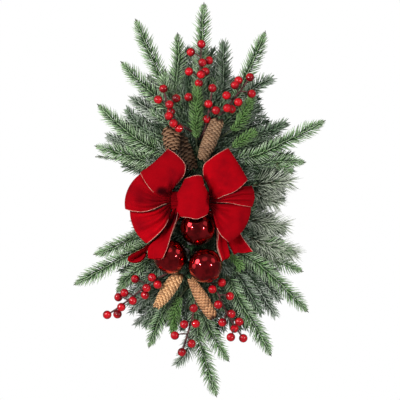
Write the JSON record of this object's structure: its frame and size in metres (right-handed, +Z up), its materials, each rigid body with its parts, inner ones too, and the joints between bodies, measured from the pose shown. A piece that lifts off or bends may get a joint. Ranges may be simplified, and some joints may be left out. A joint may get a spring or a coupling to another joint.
{
  "type": "christmas stair garland",
  "caption": "Teardrop swag of artificial pine sprays with a velvet bow, mirror balls, pine cones and berry picks on a flat-backed stem.",
  "frame": {"origin": "centre of the flat back face of the wrapped stem", "axes": "+Z up along the stem, +X to the viewer's right, -Y out of the front towards the viewer"},
  "size_m": [0.3914, 0.0947, 0.6044],
  "materials": {
    "stem_tape": "waxed floral tape, satin",
    "green_wire": "green coated wire, satin",
    "pine_green": "moulded needles, satin, greyed edges",
    "pine_frosted": "needles with a whitish frost, matt",
    "pine_bright": "moulded needles, fresh green, satin",
    "velvet_red": "deep red velvet ribbon with a wired edge",
    "ball_red": "mirror-bright metallic red",
    "cap_silver": "bright pressed metal",
    "cone_brown": "dry scales, matt, paler at the tips",
    "berry_red": "glossy lacquer"
  },
  "bodies": {
    "root": {"ball_cap_left": "cap_silver", "ball_cap_right": "cap_silver", "ball_cap_upper": "cap_silver", "ball_left": "ball_red", "ball_right": "ball_red", "ball_upper": "ball_red", "ball_wire": "green_wire", "berries_bottom": "berry_red", "berries_left": "berry_red", "berries_right": "berry_red", "berries_top": "berry_red", "berries_top_centre": "berry_red", "berries_top_left": "berry_red", "berries_top_right": "berry_red", "bow_loop_centre": "velvet_red", "bow_loop_left": "velvet_red", "bow_loop_lower_left": "velvet_red", "bow_loop_lower_right": "velvet_red", "bow_loop_right": "velvet_red", "bow_loop_upper_left": "velvet_red", "bow_loop_upper_right": "velvet_red", "bow_tail_left": "velvet_red", "bow_tail_left_curl": "velvet_red", "bow_tail_right_inner": "velvet_red", "bow_tail_right_outer": "velvet_red", "bow_tie": "velvet_red", "cone_lower_left": "cone_brown", "cone_lower_right": "cone_brown", "cone_upper_left": "cone_brown", "cone_upper_middle": "cone_brown", "cone_upper_right": "cone_brown", "hanging_loop": "green_wire", "pine_bottom": "pine_green", "pine_bottom_green": "pine_bright", "pine_bottom_left": "pine_frosted", "pine_bottom_right": "pine_green", "pine_front_below_bow": "pine_bright", "pine_front_right_high": "pine_bright", "pine_front_right_low": "pine_bright", "pine_front_top": "pine_bright", "pine_left_forked": "pine_green", "pine_left_high": "pine_green", "pine_left_low": "pine_green", "pine_long_needled_high": "pine_frosted", "pine_long_needled_low": "pine_frosted", "pine_lower_left_high": "pine_green", "pine_lower_left_low": "pine_green", "pine_lower_left_mid": "pine_green", "pine_lower_right_high": "pine_green", "pine_lower_right_low": "pine_frosted", "pine_lower_right_mid": "pine_green", "pine_right_dark": "pine_frosted", "pine_right_high": "pine_green", "pine_right_mid": "pine_green", "pine_right_tall": "pine_green", "pine_tall_left": "pine_green", "pine_top": "pine_green", "pine_top_left": "pine_green", "pine_top_right": "pine_frosted", "wrapped_stem": "stem_tape"}
  },
  "joints": []
}
